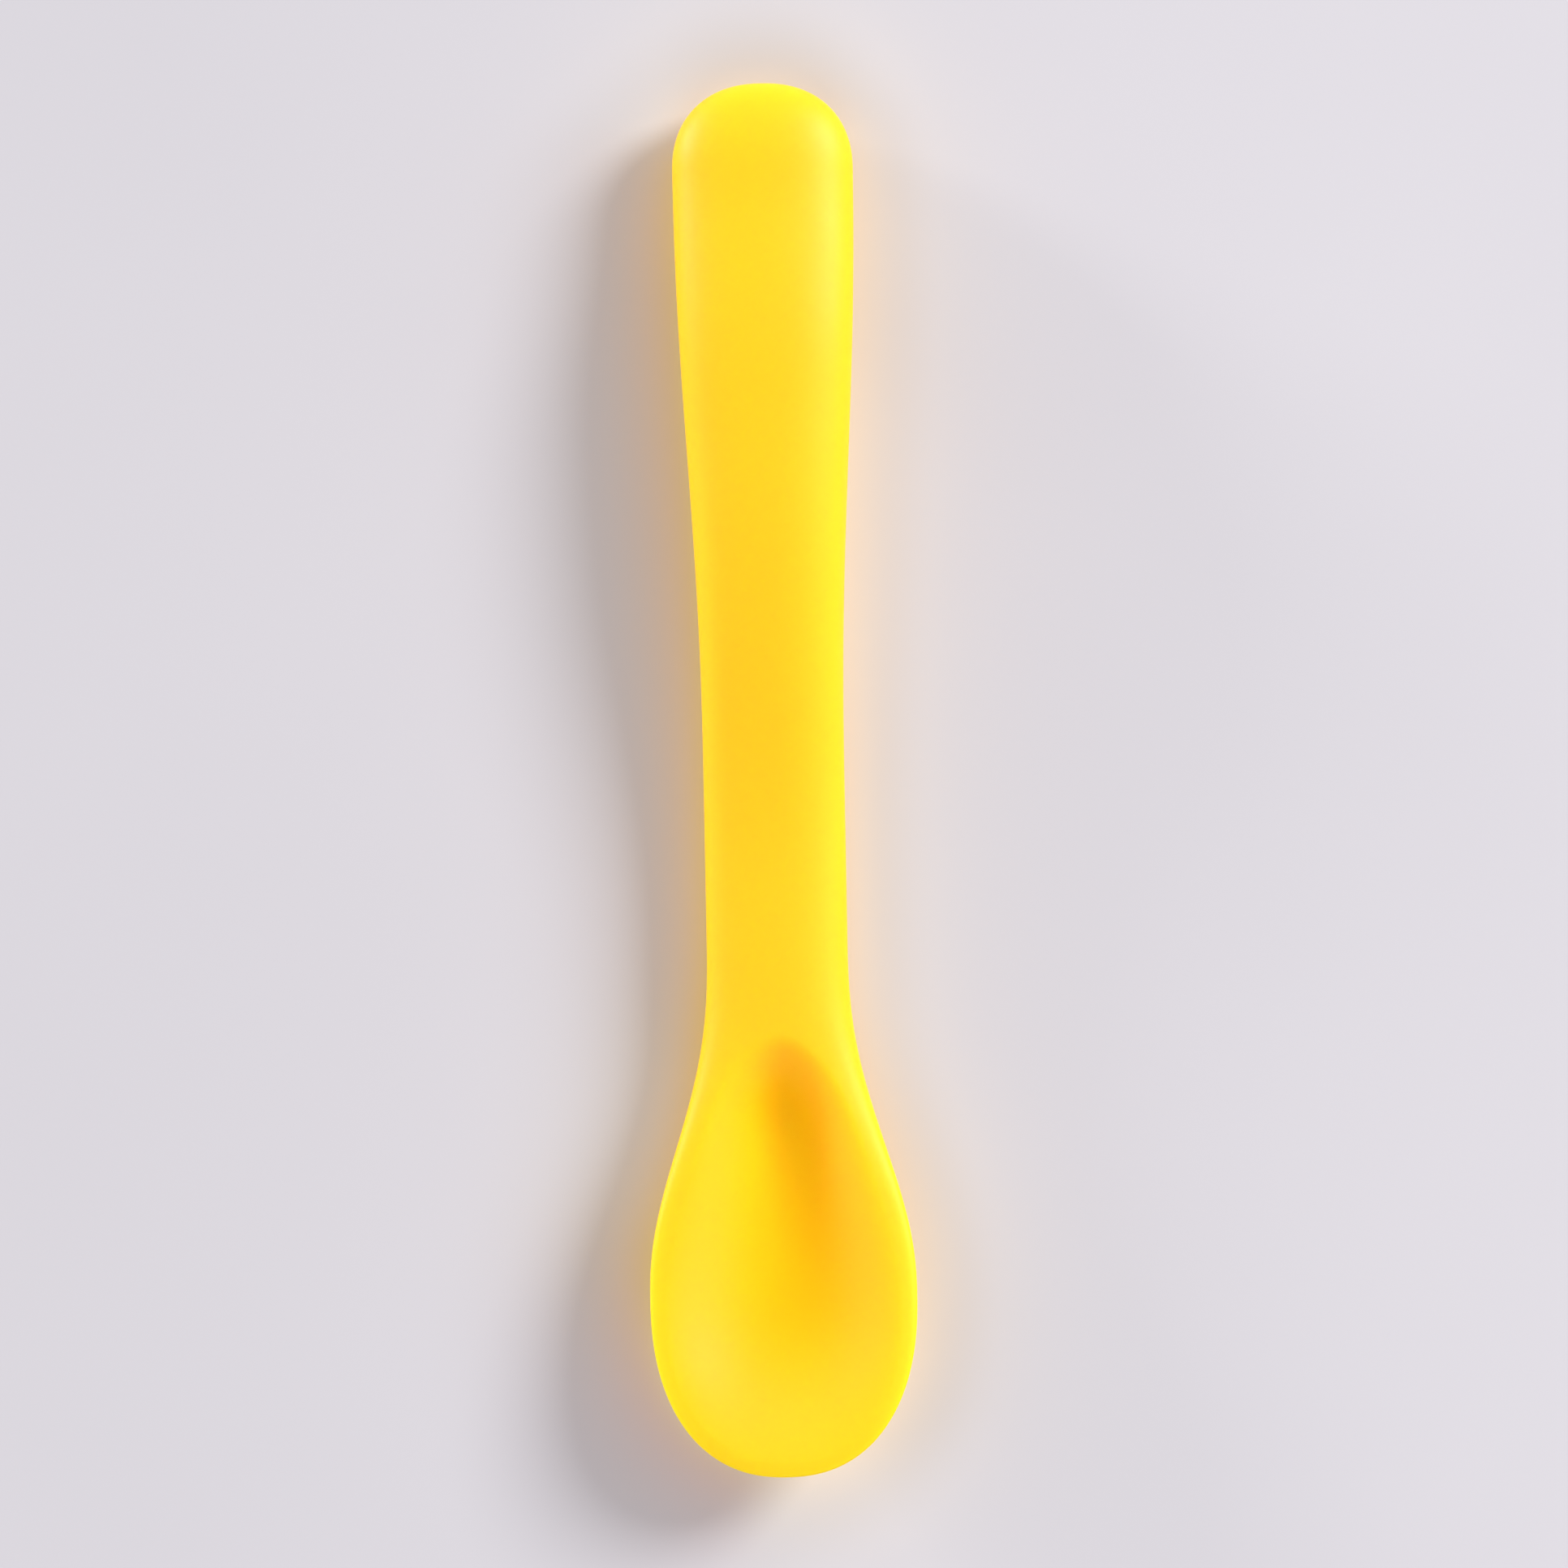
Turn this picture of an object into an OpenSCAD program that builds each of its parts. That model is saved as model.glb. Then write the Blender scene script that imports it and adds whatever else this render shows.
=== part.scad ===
// Baby spoon: a soft silicone spoon moulded over a stiff nylon core.
// X is the width, Y runs from the bowl to the handle end, and Z is up.
// Places along the spoon are distances from the tip of the bowl.

/* [Overall] */
// Length of the spoon
length = 140; // [132:1:150]
// Depth of the flats that the spoon rests on
flat_cut = 0.2; // [0.1:0.01:0.3]

/* [Bowl] */
// Width of the bowl at its widest place
bowl_w = 26.8; // [25:0.2:29]
// Distance from the tip to the widest place
tip_len = 18; // [16:0.5:20]
// Distance from the tip to where the bowl has become the handle
bowl_len = 54; // [52:1:58]
// Height of the edge above the table at the tip
tip_h = 7.3; // [6.8:0.1:8.2]
// Height of the underside's line at the tip
front_h = 2.2; // [1.8:0.1:2.6]
// Distance from the tip to the flat under the bowl
belly_at = 32; // [30:0.5:34]
// Height of the rim above the edge
rim_h = 1; // [0.8:0.1:1.4]
// Distance from the tip to where the rim starts to thicken
rim_at = 10; // [8:1:12]

/* [Hollow] */
// Depth of the hollow at its front
front_d = 2.9; // [2.6:0.1:3.4]
// Depth of the hollow at its deepest place
hollow_d = 4.2; // [3.8:0.1:4.6]
// Distance from the tip to the deepest place
deep_at = 34; // [32:0.5:36]
// Distance from the tip to the end of the hollow
hollow_len = 44.4; // [43:0.2:46]
// Length of the curved wall that closes the hollow
wall_len = 12; // [11:0.2:14]
// Width of the rim round the hollow
rim_w = 2.1; // [1.6:0.1:2.4]

/* [Handle] */
// Width of the handle at the neck
neck_w = 14.2; // [13:0.2:16]
// Thickness of the handle at the neck
neck_t = 7; // [6.6:0.1:8]
// Gap under the neck
neck_lift = 0.3; // [0.2:0.1:0.8]
// Width of the handle at its grip
grip_w = 18.2; // [17:0.2:20]
// Thickness of the handle at its grip
grip_t = 9; // [8.4:0.1:10]
// Distance from the tip to where the handle starts to widen
swell_at = 68.8; // [64:0.4:72]
// Distance from the tip to where the handle has its full width
grip_at = 136.2; // [128:0.4:138]
// Distance from the tip to the top of the handle's arch
arch_at = 108; // [102:1:112]
// Gap under the handle's arch
arch_lift = 2.4; // [1.8:0.1:3]
// Distance from the handle end to the flat under it
foot_back = 8; // [7:0.5:10]
// Height of the edge at the handle end
end_h = 4.2; // [4:0.1:4.8]
// Length of the round end, seen from above
end_len = 8.8; // [7.6:0.2:10]

/* [Core] */
// Thickness of the core in the handle
core_t = 3; // [2.6:0.1:3.2]
// Silicone beside the core
core_cover = 2.8; // [2.6:0.1:3.2]
// Silicone past the core at the handle end
end_cover = 5; // [4.6:0.2:6]
// Distance from the tip to the core's tongue
tongue_at = 39; // [38:0.5:41]
// Width of the tongue
tongue_w = 7; // [6:0.2:7.6]
// Thickness of the tongue
tongue_t = 1.2; // [1:0.1:1.3]
// Height of the tongue's middle above the table
tongue_h = 1.9; // [1.8:0.05:2]
// Diameter of the holes that lock the silicone on
lock_d = 4; // [3:0.2:4.4]
// Distance from the tip to the first locking hole
lock_at = 60; // [58:1:64]
// Distance between locking holes
lock_pitch = 14; // [12:0.5:16]
// Silicone and nylon kept behind the last locking hole
lock_back = 8; // [7:0.5:10]

/* [Hidden] */

// Exponents of the rounded outlines and sections
tip_power = 2.285;
end_power = 2.25;
rim_power = 4;
belly_power = 1.85;
handle_power = 2.1;
nose_power = 3;
wall_power = 1.8;
core_power = 4;
// How early the bowl narrows towards the neck
neck_skew = 0.844;

// Counts of facets
ring_count = 48;
tip_count = 12;
bowl_count = 24;
handle_count = 25;
end_count = 9;
core_ring_count = 20;
core_count = 30;
core_end_count = 5;

// Places and heights worked out from the sizes above
end_at = length - end_len;
foot_at = length - foot_back;
neck_h = neck_lift + neck_t / 2;
arch_h = arch_lift + grip_t / 2;
core_end = length - end_cover;
core_round = neck_w / 2 - core_cover;
tongue_round = tongue_w / 2;
lock_last = core_end - lock_back;
lock_count = floor((lock_last - lock_at) / lock_pitch) + 1;
lock_overrun = core_t;

// Lines along the spoon, as pairs of distance from the tip and height or size
edge_line = [[0, tip_h], [bowl_len, neck_h], [arch_at, arch_h], [length, end_h]];
crown_line = [[rim_at, rim_h], [bowl_len, neck_t / 2], [arch_at, grip_t / 2]];
under_line = [[0, front_h], [belly_at, -flat_cut], [bowl_len, neck_lift],
    [arch_at, arch_lift], [foot_at, -flat_cut]];
depth_line = [[0, front_d], [deep_at, hollow_d]];
grip_line = [[swell_at, 0], [grip_at, (grip_w - neck_w) / 2]];
core_h_line = [[tongue_at, tongue_h], [bowl_len, neck_h], [arch_at, arch_h], [length, end_h]];
core_t_line = [[tongue_at, tongue_t], [bowl_len, core_t]];
core_w_line = [[tongue_at, tongue_w / 2], [bowl_len, neck_w / 2 - core_cover],
    [swell_at, neck_w / 2 - core_cover], [grip_at, grip_w / 2 - core_cover]];

// Smooth step from 0 to 1, level at both ends
function ease(t) =
    let (u = max(0, min(1, t)))
    u * u * u * (10 - 15 * u + 6 * u * u);

// Height or size at distance s on a line of pairs
function along(s, line, i = 0) =
    i + 1 >= len(line) ? line[i][1] :
    s < line[i + 1][0] ? line[i][1] + (line[i + 1][1] - line[i][1])
        * ease((s - line[i][0]) / (line[i + 1][0] - line[i][0])) :
    along(s, line, i + 1);

// The part of a rounded section or outline that is left at share r of its width
function rounded(r, power) = pow(max(0, 1 - pow(min(1, abs(r)), power)), 1 / power);

// Half the width, before the tip and the handle end are rounded
function side_w(s) =
    let (t = max(0, (s - tip_len) / (bowl_len - tip_len)))
    (bowl_w + (neck_w - bowl_w) * ease(pow(t, neck_skew))) / 2 + along(s, grip_line);

// Distance ahead of the widest place, and behind the start of the round end
function ahead(s) = max(0, tip_len - s);
function behind(s) = max(0, s - end_at);

// Half the width of the outline
function half_w(s) = side_w(s)
    * rounded(ahead(s) / tip_len, tip_power) * rounded(behind(s) / end_len, end_power);

// Share of the way from the middle to an outline that lies an inset inside the edge
function reach(x, s, inset) =
    let (power = s < tip_len ? tip_power : end_power)
    pow(pow(abs(x) / (side_w(s) - inset), power) + pow(ahead(s) / (tip_len - inset), power)
        + pow(behind(s) / (end_len - inset), power), 1 / power);

// Exponent of a section, which changes from the bowl's to the handle's
function section_power(s, bowl_power) =
    bowl_power + (handle_power - bowl_power) * ease((s - tip_len) / (bowl_len - tip_len));

// Top of the rim and handle
function crown_z(x, s) = along(s, edge_line)
    + along(s, crown_line) * rounded(reach(x, s, 0), section_power(s, rim_power));

// Depth of the hollow, which starts and ends level with the crown
function hollow_depth(x, s) =
    let (back = max(0, s - (hollow_len - wall_len)) / wall_len)
    let (inside = 1 - pow(back, nose_power) - pow(reach(x, s, rim_w), 2))
    along(s, depth_line) * pow(max(0, inside), wall_power);

function top_z(x, s) = crown_z(x, s) - hollow_depth(x, s);

// Underside, cut level with the table
function under_z(x, s) =
    let (edge = along(s, edge_line))
    let (depth = edge - along(s, under_line))
    max(0, edge - depth * rounded(reach(x, s, 0), section_power(s, belly_power)));

// Distances from the tip of every ring
stations = concat(
    [for (i = [1:tip_count]) tip_len * (1 - cos(90 * i / tip_count))],
    [for (i = [1:bowl_count]) tip_len + (bowl_len - tip_len) * i / bowl_count],
    [for (i = [1:handle_count]) bowl_len + (end_at - bowl_len) * i / handle_count],
    [for (i = [1:end_count - 1]) end_at + end_len * sin(90 * i / end_count)]
);

// One ring of points round the spoon
function spoon_ring(s) = [for (j = [0:ring_count - 1])
    let (angle = 360 * j / ring_count)
    let (x = half_w(s) * cos(angle))
    let (z = angle == 0 || angle == 180 ? along(s, edge_line)
        : angle < 180 ? top_z(x, s) : under_z(x, s))
    [x, s - length / 2, z]];

// Half the width of the core's outline, round at both ends
function core_w(s) =
    let (front = max(0, tongue_at + tongue_round - s) / tongue_round)
    let (rear = max(0, s - (core_end - core_round)) / core_round)
    along(s, core_w_line) * rounded(front, 2) * rounded(rear, 2);

core_stations = concat(
    [for (i = [1:core_end_count]) tongue_at + tongue_round * (1 - cos(90 * i / core_end_count))],
    [for (i = [1:core_count - 1]) tongue_at + tongue_round
        + (core_end - core_round - tongue_at - tongue_round) * i / core_count],
    [for (i = [0:core_end_count - 1]) core_end - core_round * (1 - sin(90 * i / core_end_count))]
);

// One ring of points round the core, a rectangle with round corners
function core_ring(s) = [for (j = [0:core_ring_count - 1])
    let (angle = 360 * j / core_ring_count)
    let (c = cos(angle))
    let (d = sin(angle))
    let (size = 1 / pow(pow(abs(c), core_power) + pow(abs(d), core_power), 1 / core_power))
    [core_w(s) * size * c, s - length / 2, along(s, core_h_line) + along(s, core_t_line) / 2 * size * d]];

// Closed skin over rings of points, drawn to a point at both ends
module skin(first, rings, last) {
    count = len(rings[0]);
    ends = len(rings) * count;
    points = concat([for (ring = rings) each ring], [first, last]);
    sides = [for (i = [0:len(rings) - 2]) for (j = [0:count - 1])
        let (a = i * count + j)
        let (b = i * count + (j + 1) % count)
        each [[a, b, b + count], [a, b + count, a + count]]];
    front = [for (j = [0:count - 1]) [ends, (j + 1) % count, j]];
    rear = [for (j = [0:count - 1]) [ends + 1, ends - count + j, ends - count + (j + 1) % count]];
    polyhedron(points = points, faces = concat(sides, front, rear));
}

module spoon_form() {
    skin(
        [0, -length / 2, tip_h],
        [for (s = stations) spoon_ring(s)],
        [0, length / 2, end_h]
    );
}

module core_form() {
    skin(
        [0, tongue_at - length / 2, tongue_h],
        [for (s = core_stations) core_ring(s)],
        [0, core_end - length / 2, along(core_end, core_h_line)]
    );
}

// Round holes through the core, which the silicone fills
module lock_holes() {
    for (i = [0:lock_count - 1]) {
        s = lock_at + i * lock_pitch;
        translate([0, s - length / 2, along(s, core_h_line)])
            cylinder(d = lock_d, h = core_t + 2 * lock_overrun, center = true, $fn = 32);
    }
}

module core_solid() {
    difference() {
        core_form();
        lock_holes();
    }
}

module silicone_body() {
    color("gold")
        difference() {
            spoon_form();
            core_solid();
        }
}

module nylon_core() {
    color("ivory") core_solid();
}

silicone_body();
nylon_core();
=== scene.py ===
"""Looks of the baby spoon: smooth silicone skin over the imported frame, pale table, soft light and camera.

The camera looks straight down at the spoon, as in the photograph. X runs across the spoon, Y from the tip
of the bowl to the handle end and Z up. Places along the spoon are distances from the tip.
"""

import math

import bpy
import numpy as np
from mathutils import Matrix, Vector


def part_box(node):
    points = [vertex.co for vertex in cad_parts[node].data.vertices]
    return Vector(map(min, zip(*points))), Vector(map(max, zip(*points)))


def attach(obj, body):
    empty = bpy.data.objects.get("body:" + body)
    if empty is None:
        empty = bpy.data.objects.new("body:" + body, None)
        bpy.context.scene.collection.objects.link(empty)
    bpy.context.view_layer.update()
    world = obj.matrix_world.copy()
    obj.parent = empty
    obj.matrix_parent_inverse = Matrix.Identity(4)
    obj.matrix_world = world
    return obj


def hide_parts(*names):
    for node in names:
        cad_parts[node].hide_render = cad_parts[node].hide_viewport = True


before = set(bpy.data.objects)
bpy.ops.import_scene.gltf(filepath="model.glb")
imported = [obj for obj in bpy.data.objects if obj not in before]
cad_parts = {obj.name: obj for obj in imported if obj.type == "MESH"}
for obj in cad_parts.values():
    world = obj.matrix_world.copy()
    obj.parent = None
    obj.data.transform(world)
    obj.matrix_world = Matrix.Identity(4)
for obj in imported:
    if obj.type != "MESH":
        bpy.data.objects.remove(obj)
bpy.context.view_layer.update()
skin_low, skin_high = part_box("silicone_body")

# Sizes, places and heights are in millimetres, and one of them is this much in Blender's metres
MM = 0.001

# Sizes of the spoon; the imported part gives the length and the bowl's width
LENGTH = (skin_high.y - skin_low.y) / MM
BOWL_W = (skin_high.x - skin_low.x) / MM
FLAT_CUT = 0.2
TIP_LEN = 18
BOWL_LEN = 54
TIP_H = 7.3
FRONT_H = 2.2
BELLY_AT = 32
RIM_H = 1
RIM_AT = 10
FRONT_D = 2.9
HOLLOW_D = 4.2
DEEP_AT = 34
HOLLOW_LEN = 44.4
WALL_LEN = 12
RIM_W = 2.1
NECK_W = 14.2
NECK_T = 7
NECK_LIFT = 0.3
GRIP_W = 18.2
GRIP_T = 9
SWELL_AT = 68.8
GRIP_AT = 136.2
ARCH_AT = 108
ARCH_LIFT = 2.4
FOOT_BACK = 8
END_H = 4.2
END_LEN = 8.8

# Exponents of the rounded outlines and sections
TIP_POWER = 2.285
END_POWER = 2.25
RIM_POWER = 4
BELLY_POWER = 1.85
HANDLE_POWER = 2.1
NOSE_POWER = 3
WALL_POWER = 1.8
# How early the bowl narrows towards the neck
NECK_SKEW = 0.844

# The hollow's rim and wall towards the tip, which change to the others over a span along the bowl
FRONT_RIM_W = 1.4
FRONT_WALL_POWER = 1.3
FRONT_END = 10
FRONT_BLEND = 22

# Places and heights that follow from the sizes
END_AT = LENGTH - END_LEN
NECK_H = NECK_LIFT + NECK_T / 2
ARCH_H = ARCH_LIFT + GRIP_T / 2

# Lines along the spoon, as pairs of distance from the tip and height or size
EDGE_LINE = [(0, TIP_H), (BOWL_LEN, NECK_H), (ARCH_AT, ARCH_H), (LENGTH, END_H)]
CROWN_LINE = [(RIM_AT, RIM_H), (BOWL_LEN, NECK_T / 2), (ARCH_AT, GRIP_T / 2)]
UNDER_LINE = [
    (0, FRONT_H),
    (BELLY_AT, -FLAT_CUT),
    (BOWL_LEN, NECK_LIFT),
    (ARCH_AT, ARCH_LIFT),
    (LENGTH - FOOT_BACK, -FLAT_CUT),
]
DEPTH_LINE = [(0, FRONT_D), (DEEP_AT, HOLLOW_D)]
GRIP_LINE = [(SWELL_AT, 0), (GRIP_AT, (GRIP_W - NECK_W) / 2)]

# Counts of the skin's mesh
RING_COUNT = 176
TIP_COUNT = 48
BOWL_COUNT = 120
HANDLE_COUNT = 150
END_COUNT = 36

# Looks of the silicone: its deeper tone, for clouds and for painted shade along the handle's edge, and its
# brighter tone, sizes of its clouds, patches and grain, and heights of its grain and parting line
SILICONE_TONES = ((0.94, 0.462, 0.002, 1), (0.94, 0.509, 0.002, 1))
CLOUD_SIZE = 22
PATCH_SIZE = 6
GRAIN_SIZE = 0.22
GRAIN_H = 0.006
SEAM_H = 0.035
# Distances from the parting line over which it falls off, and over which the painted shade along the
# handle's edge does
SEAM_FALL = (0.02, 0.22)
EDGE_SHADE_FALL = (0, 3)
# Places between which the painted shade along the edge starts, and depths in the hollow of its upper wall
# and its middle
EDGE_SHADE_START = (30, 60)
WALL_DEPTHS = (0, 1)
MIDDLE_DEPTHS = (1, 3.8)

# Looks of the nylon: its own tone and its flecks', sizes of its flecks, patches and grain, and height of
# its grain
NYLON_TONES = ((0.78, 0.75, 0.66, 1), (0.84, 0.82, 0.74, 1))
FLECK_SIZE = 0.5
NYLON_PATCH_SIZE = 1.5
NYLON_GRAIN_SIZE = 0.3
NYLON_GRAIN_H = 0.01

# Values of a noise between which clouds, patches and flecks change from one tone to the other
NOISE_RANGE = (0.3, 0.7)
FLECK_RANGE = (0.42, 0.6)

# The table: half the sizes of its patch of painted glow and shade and of the fine part of it, the steps of
# their grids, its far edge, its drop under the spoon's flats, its two tones, and the size of its clouds
PAINTED_LIGHT_PATCH = (60, 100)
FINE_PATCH = (22, 82)
COARSE_STEP = 2
FINE_STEP = 0.5
TABLE_REACH = 4000
TABLE_DROP = 0.01
TABLE_TONES = ((0.501, 0.482, 0.516, 1), (0.507, 0.488, 0.522, 1))
TABLE_CLOUD_SIZE = 60

# How the table's painted glow and shade see the outline: the distance between its points, and how far they
# blend
OUTLINE_STEP = 0.3
OUTLINE_BLEND = 1.5
# Direction of the key light, and how the outline faces it, as cosines, where the table's painted light
# counts as shaded and where it counts as lit
KEY_AZIMUTH = 32
LIT_FACING = (-0.9, -0.48)
# Red, green and blue of the painted glow, light bounced off the spoon, on the lit and on the shaded table,
# and how far it reaches
LIT_GLOW = (0.5, 0.4, 0.12)
LIT_REACH = 4.6
SHADE_GLOW = (0.37, 0.0, -0.42)
SHADE_REACH = 4.7
# The same for the painted glow on the shaded table that is added close to the edge
RIM_GLOW = (0.1, 0.34, 0.1)
RIM_REACH = 1.4
# Blue added to the painted glow on the shaded table, and strength of all painted glow, as lines along the
# spoon
BLUE_LINE = [(0, 0.27), (DEEP_AT, -0.18), (60, 0)]
GLOW_LINE = [(122, 1), (LENGTH, 0.72)]
# Share of light lost in the painted shade, the travel where that starts to fade, and over how much it does
SHADE_DEPTH = 0.1
SHADE_FULL = 4
SHADE_FADE = 25
# How many times a way aside or against the key light counts in the travel
ASIDE_COUNT = 2.5
AGAINST_COUNT = 3
# Share by which the painted light brightens the table to the right, out to this distance from the middle
SLOPE_SHARE = 0.027
SLOPE_REACH = 60

# Distance of the lights from the spoon
LIGHT_DISTANCE = 4000

# Framing of the photograph, and how far the spoon's axis leans aside in it for each unit of length
VIEW_WIDTH = 157.63
VIEW_CENTRE = (0.995, -0.55)
VIEW_HEIGHT = 5
AXIS_LEAN = 0.018924
CAMERA_DISTANCE = 650
SENSOR_WIDTH = 36


def ease(t):
    """Smooth step from 0 to 1, level at both ends."""
    u = np.clip(t, 0, 1)
    return u**3 * (10 - 15 * u + 6 * u * u)


def along(s, line):
    """Height or size at distance s on a line of pairs."""
    value = line[0][1] + 0 * s
    for (s0, v0), (s1, v1) in zip(line, line[1:]):
        value = value + (v1 - v0) * ease((s - s0) / (s1 - s0))
    return value


def rounded(share, power):
    """The part of a rounded section or outline that is left at a share of its width."""
    return np.clip(1 - np.minimum(np.abs(share), 1) ** power, 0, 1) ** (1 / power)


def side_w(s):
    """Half the width, before the tip and the handle end are rounded."""
    t = np.clip((s - TIP_LEN) / (BOWL_LEN - TIP_LEN), 0, None)
    return (BOWL_W + (NECK_W - BOWL_W) * ease(t**NECK_SKEW)) / 2 + along(s, GRIP_LINE)


def ahead(s):
    """Distance ahead of the widest place."""
    return np.maximum(0, TIP_LEN - s)


def behind(s):
    """Distance behind the start of the round handle end."""
    return np.maximum(0, s - END_AT)


def half_w(s):
    """Half the width of the outline."""
    return side_w(s) * rounded(ahead(s) / TIP_LEN, TIP_POWER) * rounded(behind(s) / END_LEN, END_POWER)


def reach(x, s, inset):
    """Share of the way from the middle to an outline that lies an inset inside the edge."""
    power = np.where(s < TIP_LEN, TIP_POWER, END_POWER)
    across = np.abs(x) / (side_w(s) - inset)
    front = ahead(s) / (TIP_LEN - inset)
    rear = behind(s) / (END_LEN - inset)
    return (across**power + front**power + rear**power) ** (1 / power)


def section_power(s, bowl_power):
    """Exponent of a section, which changes from the bowl's to the handle's."""
    return bowl_power + (HANDLE_POWER - bowl_power) * ease((s - TIP_LEN) / (BOWL_LEN - TIP_LEN))


def crown_z(x, s):
    """Top of the rim and handle."""
    crown = rounded(reach(x, s, 0), section_power(s, RIM_POWER))
    return along(s, EDGE_LINE) + along(s, CROWN_LINE) * crown


def hollow_depth(x, s):
    """Depth of the hollow, which starts and ends level with the crown."""
    back = np.maximum(0, s - (HOLLOW_LEN - WALL_LEN)) / WALL_LEN
    blend = ease((s - FRONT_END) / FRONT_BLEND)
    rim = FRONT_RIM_W + (RIM_W - FRONT_RIM_W) * blend
    inside = 1 - back**NOSE_POWER - reach(x, s, rim) ** 2
    power = FRONT_WALL_POWER + (WALL_POWER - FRONT_WALL_POWER) * blend
    return along(s, DEPTH_LINE) * np.maximum(0, inside) ** power


def top_z(x, s):
    """Upper side, with the hollow."""
    return crown_z(x, s) - hollow_depth(x, s)


def under_z(x, s):
    """Underside, cut level with the table."""
    edge = along(s, EDGE_LINE)
    depth = edge - along(s, UNDER_LINE)
    return np.maximum(0, edge - depth * rounded(reach(x, s, 0), section_power(s, BELLY_POWER)))


def stations():
    """Distances from the tip of every ring, closer together at both ends."""
    tip = TIP_LEN * (1 - np.cos(np.linspace(0, math.pi / 2, TIP_COUNT + 1)[1:]))
    bowl = np.linspace(TIP_LEN, BOWL_LEN, BOWL_COUNT + 1)[1:]
    handle = np.linspace(BOWL_LEN, END_AT, HANDLE_COUNT + 1)[1:]
    end = END_AT + END_LEN * np.sin(np.linspace(0, math.pi / 2, END_COUNT + 1)[1:-1])
    return np.concatenate([tip, bowl, handle, end])


def skin_points():
    """Rings of points round the spoon, with their distances from the parting line and below the crown."""
    s, angle = np.meshgrid(stations(), np.arange(RING_COUNT) * math.tau / RING_COUNT, indexing="ij")
    x = half_w(s) * np.cos(angle)
    edge = along(s, EDGE_LINE)
    upper = angle < math.pi
    z = np.where(upper, top_z(x, s), under_z(x, s))
    on_edge = np.isclose(np.sin(angle), 0)
    z = np.where(on_edge, edge, z)
    seam = np.hypot(half_w(s) - np.abs(x), z - edge)
    hollow = np.where(upper & ~on_edge, hollow_depth(x, s), 0)
    return np.stack([x, s - LENGTH / 2, z], axis=-1), {"seam_mm": seam, "hollow_mm": hollow}


def skin_faces(rings):
    """Faces between rings of points, and fans to a point at each end."""
    count = RING_COUNT
    faces = []
    for i in range(rings - 1):
        for j in range(count):
            a, b = i * count + j, i * count + (j + 1) % count
            faces.append((a, b, b + count, a + count))
    first, last = rings * count, rings * count + 1
    rear = (rings - 1) * count
    faces += [(first, (j + 1) % count, j) for j in range(count)]
    faces += [(last, rear + j, rear + (j + 1) % count) for j in range(count)]
    return faces


def new_object(name, data):
    """Object in the scene that shows a mesh, lamp or camera."""
    shown = bpy.data.objects.new(name, data)
    bpy.context.scene.collection.objects.link(shown)
    return shown


def make_skin():
    """The silicone skin, smooth all over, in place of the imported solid."""
    rings, measures = skin_points()
    tips = [[0, -LENGTH / 2, TIP_H], [0, LENGTH / 2, END_H]]
    points = np.concatenate([rings.reshape(-1, 3), tips]) * MM
    mesh = bpy.data.meshes.new("silicone_skin")
    mesh.from_pydata(points.tolist(), [], skin_faces(len(rings)))
    mesh.shade_smooth()
    for name, values in measures.items():
        attribute = mesh.attributes.new(name, "FLOAT", "POINT")
        attribute.data.foreach_set("value", np.append(values.ravel(), [0, 0]))
    skin = new_object("silicone_skin", mesh)
    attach(skin, "root")
    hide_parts("silicone_body")
    skin.data.materials.append(silicone_material())


class Nodes:
    """Small helper that adds and joins the nodes of one material or world."""

    def __init__(self, tree):
        self.tree = tree

    def add(self, kind, settings=None, **inputs):
        """A new node, with its settings and the values or links of its inputs."""
        node = self.tree.nodes.new(kind)
        for name, value in (settings or {}).items():
            setattr(node, name, value)
        for name, value in inputs.items():
            self.put(node.inputs[name], value)
        return node

    def put(self, socket, value):
        """Links a node's output to a socket, or sets the socket to a constant."""
        if isinstance(value, bpy.types.NodeSocket):
            self.tree.links.new(value, socket)
        else:
            socket.default_value = value

    def math(self, operation, *values):
        """A sum, product or the like of values or links."""
        node = self.add("ShaderNodeMath", {"operation": operation})
        for socket, value in zip(node.inputs, values):
            self.put(socket, value)
        return node.outputs[0]

    def noise(self, place, size_mm, detail=2.0):
        """Noise whose features are about size_mm across."""
        scale = 1 / (size_mm * MM)
        return self.add("ShaderNodeTexNoise", Vector=place, Scale=scale, Detail=detail).outputs["Fac"]

    def span(self, value, given, wanted):
        """Maps a value from the given range to the wanted one, smoothly and held at both ends."""
        node = self.add("ShaderNodeMapRange", {"interpolation_type": "SMOOTHSTEP"}, Value=value)
        for name, number in zip(("From Min", "From Max", "To Min", "To Max"), (*given, *wanted)):
            self.put(node.inputs[name], number)
        return node.outputs["Result"]

    def attribute(self, name, output="Fac"):
        """A measure or colour that the mesh carries at its points."""
        return self.add("ShaderNodeAttribute", {"attribute_name": name}).outputs[output]

    def mix(self, share, first, second, blend_type="MIX"):
        """A mix of two colours, with a share of the second."""
        node = self.add("ShaderNodeMix", {"data_type": "RGBA", "blend_type": blend_type})
        for socket, value in ((node.inputs[0], share), (node.inputs[6], first), (node.inputs[7], second)):
            self.put(socket, value)
        return node.outputs[2]

    def mix_shaders(self, share, first, second):
        """The first shader where the share is 0 and the second where it is 1."""
        node = self.add("ShaderNodeMixShader")
        for socket, value in zip(node.inputs, (share, first, second)):
            self.put(socket, value)
        return node.outputs[0]


def new_material(name):
    """A new material, its nodes and its shader."""
    material = bpy.data.materials.new(name)
    material.use_nodes = True
    nodes = Nodes(material.node_tree)
    return material, nodes, material.node_tree.nodes["Principled BSDF"]


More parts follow.
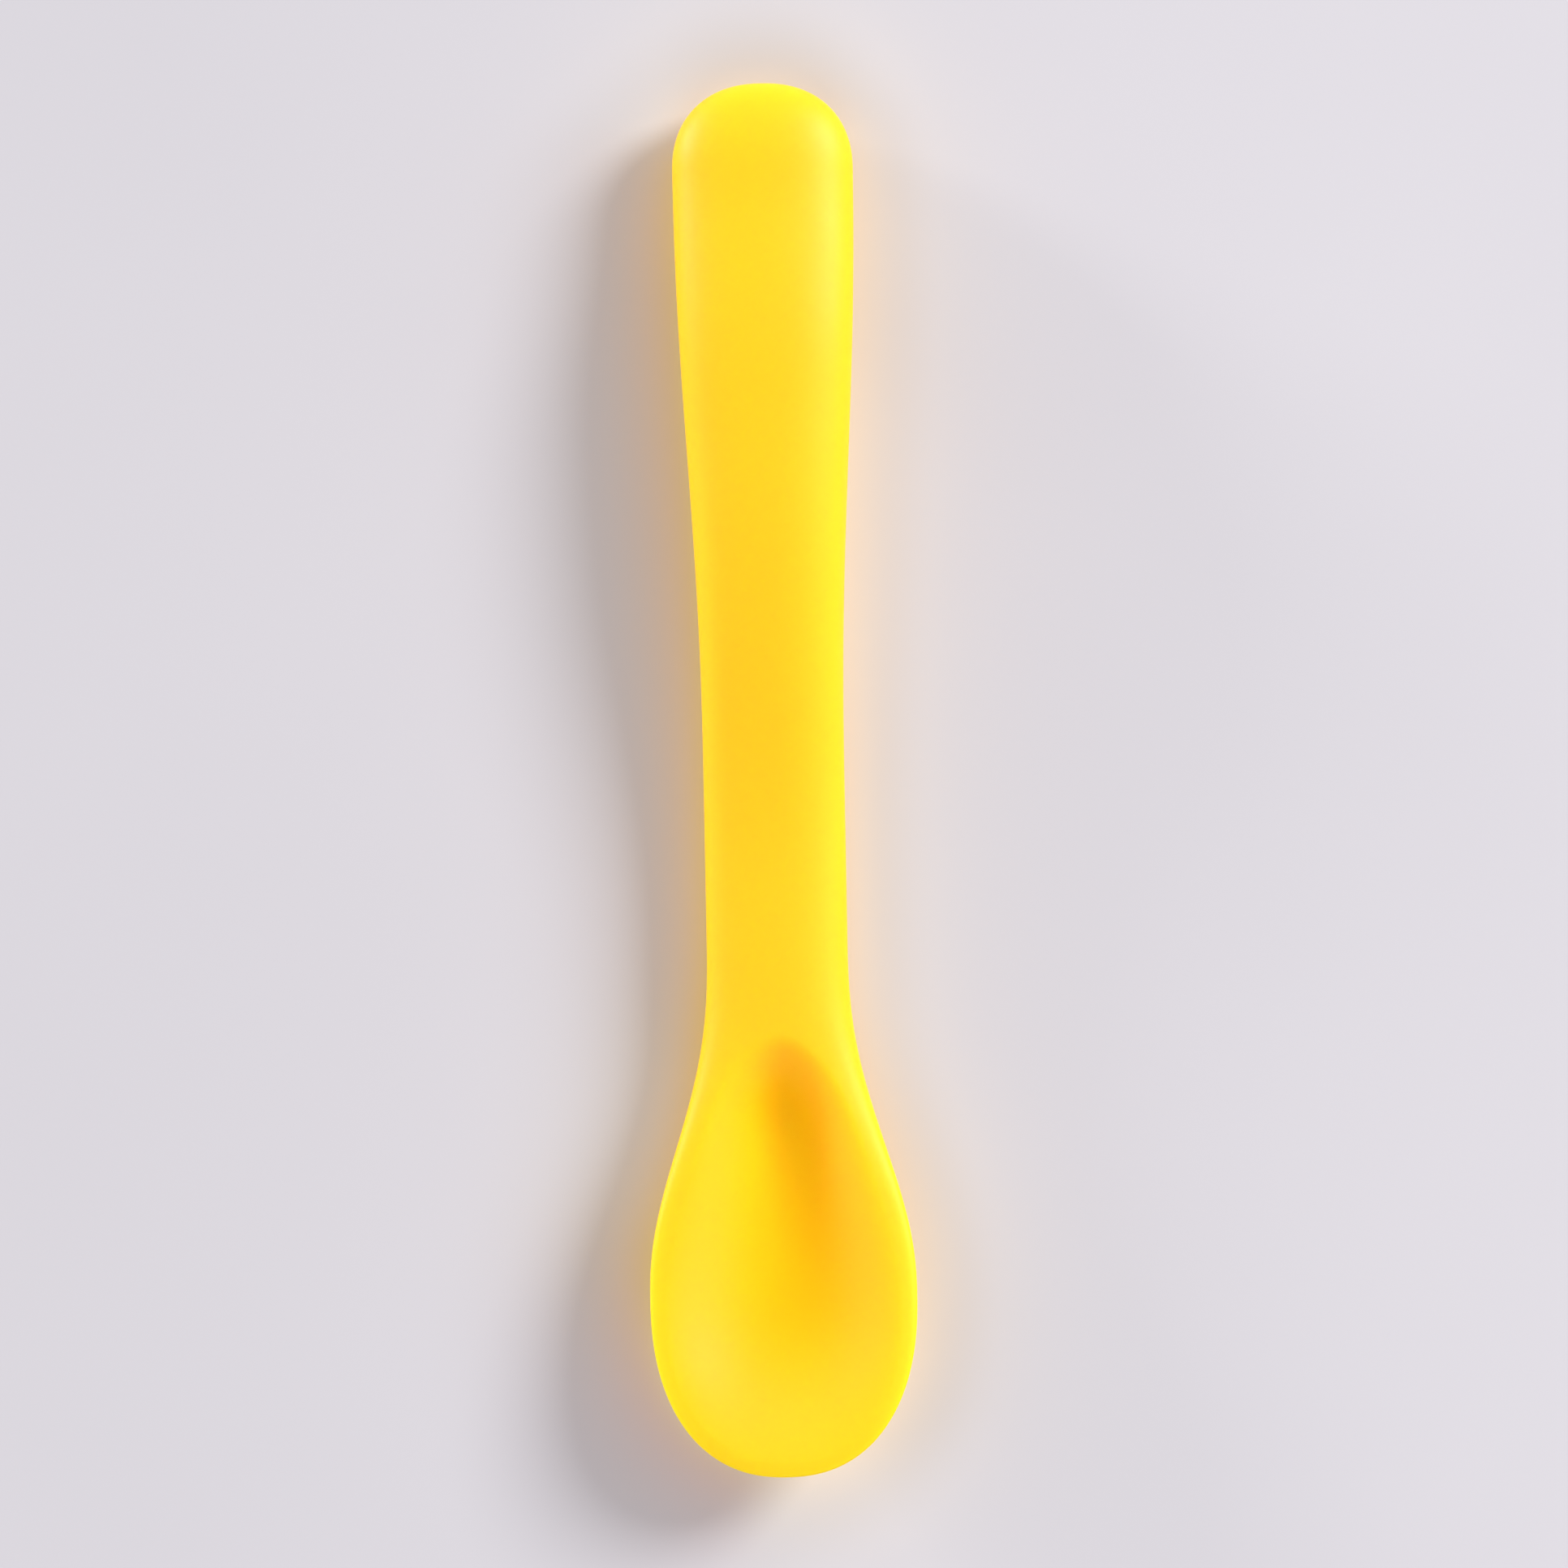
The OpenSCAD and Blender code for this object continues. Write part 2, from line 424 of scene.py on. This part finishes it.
def silicone_material():
    """Satin, slightly translucent yellow silicone with a fine moulded texture and a faint parting line."""
    material, nodes, shader = new_material("yellow_silicone")
    place = nodes.add("ShaderNodeTexCoord").outputs["Object"]
    shader.inputs["IOR"].default_value = 1.41
    shader.inputs["Subsurface Weight"].default_value = 1
    shader.inputs["Subsurface Radius"].default_value = (0.8, 1, 0.15)
    shader.inputs["Subsurface Scale"].default_value = 5 * MM

    seam = nodes.attribute("seam_mm")
    hollow = nodes.attribute("hollow_mm")

    # The colour clouds faintly, and painted shade makes it a little deeper along the handle's edge
    cloud = nodes.span(nodes.noise(place, CLOUD_SIZE), NOISE_RANGE, (0.7, 1))
    along_y = nodes.add("ShaderNodeSeparateXYZ", Vector=place).outputs["Y"]
    edge_shade_start = [(s - LENGTH / 2) * MM for s in EDGE_SHADE_START]
    bowl = nodes.span(along_y, edge_shade_start, (1, 0))
    # Painted shade: the deeper tone along the handle's edge, none in the bowl
    middle = nodes.span(seam, EDGE_SHADE_FALL, (0, 1))
    share = nodes.math("MULTIPLY", cloud, nodes.math("MAXIMUM", bowl, middle))
    nodes.put(shader.inputs["Base Color"], nodes.mix(share, *SILICONE_TONES))

    # The hollow's walls shine a little more than the handle, and its deep middle is matt
    patch = nodes.span(nodes.noise(place, PATCH_SIZE, 3), NOISE_RANGE, (-0.025, 0.025))
    wall_rough = nodes.span(hollow, WALL_DEPTHS, (0.5, 0.46))
    middle_rough = nodes.span(hollow, MIDDLE_DEPTHS, (0, 0.09))
    wall_shine = nodes.span(hollow, WALL_DEPTHS, (0.41, 0.48))
    middle_shine = nodes.span(hollow, MIDDLE_DEPTHS, (1, 0.2))
    rough = nodes.math("ADD", wall_rough, middle_rough)
    nodes.put(shader.inputs["Roughness"], nodes.math("ADD", patch, rough))
    nodes.put(shader.inputs["Specular IOR Level"], nodes.math("MULTIPLY", wall_shine, middle_shine))

    grain = nodes.math("MULTIPLY", nodes.noise(place, GRAIN_SIZE, 2), GRAIN_H)
    ridge = nodes.span(seam, SEAM_FALL, (SEAM_H, 0))
    height = nodes.math("MULTIPLY", nodes.math("ADD", grain, ridge), MM)
    bump = nodes.add("ShaderNodeBump", Height=height, Distance=1.0, Strength=0.8)
    nodes.put(shader.inputs["Normal"], bump.outputs["Normal"])
    return material


def nylon_material():
    """Natural nylon, off-white and matt, with fine paler flecks."""
    material, nodes, shader = new_material("natural_nylon")
    place = nodes.add("ShaderNodeTexCoord").outputs["Object"]
    shader.inputs["IOR"].default_value = 1.53
    shader.inputs["Subsurface Weight"].default_value = 0.15
    shader.inputs["Subsurface Scale"].default_value = 1.5 * MM

    flecks = nodes.span(nodes.noise(place, FLECK_SIZE, 4), FLECK_RANGE, (0, 1))
    nodes.put(shader.inputs["Base Color"], nodes.mix(flecks, *NYLON_TONES))
    rough = nodes.span(nodes.noise(place, NYLON_PATCH_SIZE, 3), NOISE_RANGE, (0.5, 0.62))
    nodes.put(shader.inputs["Roughness"], rough)
    height = nodes.math("MULTIPLY", nodes.noise(place, NYLON_GRAIN_SIZE, 3), NYLON_GRAIN_H * MM)
    bump = nodes.add("ShaderNodeBump", Height=height, Distance=1.0, Strength=0.6)
    nodes.put(shader.inputs["Normal"], bump.outputs["Normal"])
    return material


def dress_core():
    """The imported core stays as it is, inside the silicone, in its own material."""
    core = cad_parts["nylon_core"]
    core.data.materials.clear()
    core.data.materials.append(nylon_material())


def outline():
    """Points round the spoon's outline, seen from above, and the outward directions there."""
    s = stations()
    side = half_w(s)
    x = np.concatenate([[0], side, [0], -side[::-1], [0]])
    y = np.concatenate([[0], s, [LENGTH], s[::-1], [0]]) - LENGTH / 2
    walked = np.append(0, np.cumsum(np.hypot(np.diff(x), np.diff(y))))
    places = np.arange(0, walked[-1], OUTLINE_STEP)
    x, y = np.interp(places, walked, x), np.interp(places, walked, y)
    out_x = np.roll(y, -1) - np.roll(y, 1)
    out_y = np.roll(x, 1) - np.roll(x, -1)
    size = np.hypot(out_x, out_y)
    return x, y, out_x / size, out_y / size


def see_outline(x, y):
    """How far the outline is from places on the table, how it faces the key light there, and their travel.

    The travel is the shortest way to the outline when a way aside or against the key light counts more.
    """
    edge_x, edge_y, out_x, out_y = outline()
    key_x, key_y = math.cos(math.radians(KEY_AZIMUTH)), math.sin(math.radians(KEY_AZIMUTH))
    edge_facing = out_x * key_x + out_y * key_y
    away, facing, travel = np.empty((3, len(x)))
    for i in range(len(x)):
        to_x, to_y = edge_x - x[i], edge_y - y[i]
        distance = np.hypot(to_x, to_y)
        away[i] = distance.min()
        facing[i] = np.average(edge_facing, weights=np.exp((away[i] - distance) / OUTLINE_BLEND))
        towards = to_x * key_x + to_y * key_y
        towards = np.where(towards > 0, towards, AGAINST_COUNT * towards)
        travel[i] = np.hypot(towards, ASIDE_COUNT * (to_y * key_x - to_x * key_y)).min()
    return away, facing, travel


def painted_table_light(x, y):
    """Painted glow and shade on the table near the spoon: warm glow off the silicone, shade away from the
    key.

    The painted glow on the shaded side is less blue beside the belly and bluer beside the tip, which is
    high above the table.
    """
    away, facing, travel = see_outline(x, y)
    s = np.clip(y + LENGTH / 2, 0, LENGTH)
    away = np.where(np.abs(x) < half_w(s), 0, away)[:, None]
    lit = ease((facing - LIT_FACING[0]) / (LIT_FACING[1] - LIT_FACING[0]))[:, None]
    # Painted glow: light bounced off the spoon, warm beside its lit and its shaded edge
    lit_glow = lit * np.exp(-away / LIT_REACH) * np.array(LIT_GLOW)
    long_glow = np.array(SHADE_GLOW) + np.outer(along(s, BLUE_LINE), (0, 0, 1))
    rim_glow = np.exp(-away / RIM_REACH) * np.array(RIM_GLOW)
    shade_glow = (1 - lit) * (np.exp(-away / SHADE_REACH) * long_glow + rim_glow)
    glow = (lit_glow + shade_glow) * along(s, GLOW_LINE)[:, None]
    # Painted shade, deeper on the table away from the key light
    shade = 1 - SHADE_DEPTH * (1 - ease((travel - SHADE_FULL) / SHADE_FADE))[:, None]
    # Painted light that brightens the table to the right
    slope = 1 + SLOPE_SHARE * np.clip(x, -SLOPE_REACH, SLOPE_REACH)[:, None] / SLOPE_REACH
    return (1 + glow) * shade * slope


def grid_line(fine, patch):
    """Places of a grid's lines: close in the middle, wider apart in the patch, and one far off each way."""
    middle = np.arange(-fine, fine + FINE_STEP / 2, FINE_STEP)
    side = np.arange(fine + COARSE_STEP, patch + COARSE_STEP / 2, COARSE_STEP)
    return np.concatenate([[-TABLE_REACH], -side[::-1], middle, side, [TABLE_REACH]])


def table_material():
    """Pale, faintly clouded table times the painted glow and shade of its points, clear when it is seen
    from below.
    """
    material, nodes, shader = new_material("pale_table")
    place = nodes.add("ShaderNodeTexCoord").outputs["Object"]
    cloud = nodes.span(nodes.noise(place, TABLE_CLOUD_SIZE), NOISE_RANGE, (0, 1))
    # The points' painted glow and shade multiply the table's colour
    tone_with_painted_light = nodes.mix(1, nodes.mix(cloud, *TABLE_TONES), nodes.attribute("painted_light", "Color"), "MULTIPLY")
    nodes.put(shader.inputs["Base Color"], tone_with_painted_light)
    shader.inputs["Roughness"].default_value = 0.9
    shader.inputs["Specular IOR Level"].default_value = 0.1
    from_below = nodes.add("ShaderNodeNewGeometry").outputs["Backfacing"]
    clear = nodes.add("ShaderNodeBsdfTransparent").outputs[0]
    surface = nodes.mix_shaders(from_below, shader.outputs[0], clear)
    nodes.put(material.node_tree.nodes["Material Output"].inputs["Surface"], surface)
    return material


def make_table():
    """Plain table, whose points carry its painted glow and shade."""
    grid_x, grid_y = [grid_line(*halves) for halves in zip(FINE_PATCH, PAINTED_LIGHT_PATCH)]
    y, x = [part.ravel() for part in np.meshgrid(grid_y, grid_x, indexing="ij")]
    points = np.stack([x, y, 0 * x], axis=-1) * MM
    count = len(grid_x)
    corners = [i * count + j for i in range(len(grid_y) - 1) for j in range(count - 1)]
    mesh = bpy.data.meshes.new("table_top")
    mesh.from_pydata(points.tolist(), [], [(a, a + 1, a + count + 1, a + count) for a in corners])
    # Painted glow and shade at each point of the table
    painted_light = mesh.attributes.new("painted_light", "FLOAT_COLOR", "POINT")
    painted_light.data.foreach_set("color", np.append(painted_table_light(x, y), np.ones((len(x), 1)), axis=1).ravel())
    mesh.materials.append(table_material())
    table = new_object("table_top", mesh)
    table.location.z = -TABLE_DROP * MM


def disk_light(name, azimuth, elevation, width, table_light, mirrored=True):
    """Round soft light, placed and sized by angles, which shows in no reflection unless it is mirrored.

    The table's light is the light that it gives a white surface there, as a share of full white.
    """
    around, up = math.radians(azimuth), math.radians(elevation)
    towards = Vector((math.cos(around) * math.cos(up), math.sin(around) * math.cos(up), math.sin(up)))
    distance = LIGHT_DISTANCE * MM
    lamp = bpy.data.lights.new(name, "AREA")
    lamp.shape = "DISK"
    lamp.size = 2 * distance * math.tan(math.radians(width / 2))
    lamp.energy = table_light * (math.pi * distance) ** 2 / towards.z
    light = new_object(name, lamp)
    light.location = towards * distance
    light.rotation_euler = towards.to_track_quat("Z", "Y").to_euler()
    light.visible_glossy = mirrored


def make_lights():
    """Soft key from the right, and fills from the left and from the bowl's side."""
    disk_light("key_light", azimuth=KEY_AZIMUTH, elevation=26.5, width=20, table_light=0.52)
    disk_light("low_fill", azimuth=150, elevation=6, width=14, table_light=0.085)
    disk_light("high_fill", azimuth=185, elevation=38, width=30, table_light=0.05, mirrored=False)
    disk_light("bowl_fill", azimuth=270, elevation=45, width=40, table_light=0.18, mirrored=False)


def make_world():
    """Even white sky, with a plain pale backdrop where the camera sees it."""
    world = bpy.data.worlds.new("studio")
    bpy.context.scene.world = world
    world.use_nodes = True
    nodes = Nodes(world.node_tree)
    sky = world.node_tree.nodes["Background"]
    sky.inputs["Strength"].default_value = 0.68
    sky.inputs["Color"].default_value = (1, 1, 1, 1)
    backdrop = nodes.add("ShaderNodeBackground", Strength=1.0, Color=(0.74, 0.715, 0.77, 1))
    seen = nodes.add("ShaderNodeLightPath").outputs["Is Camera Ray"]
    surface = nodes.mix_shaders(seen, sky.outputs[0], backdrop.outputs[0])
    nodes.put(world.node_tree.nodes["World Output"].inputs["Surface"], surface)


def make_camera():
    """Camera that looks straight down, framed and turned as the photograph is."""
    camera = bpy.data.cameras.new("camera")
    camera.sensor_width = SENSOR_WIDTH
    camera.lens = SENSOR_WIDTH * CAMERA_DISTANCE / VIEW_WIDTH
    holder = new_object("camera", camera)
    x, y = VIEW_CENTRE
    holder.location = Vector((x, y, VIEW_HEIGHT + CAMERA_DISTANCE)) * MM
    holder.rotation_euler = (0, 0, -math.atan(AXIS_LEAN))
    bpy.context.scene.camera = holder


make_skin()
dress_core()
make_table()
make_lights()
make_world()
make_camera()
bpy.context.scene.view_settings.view_transform = "Standard"
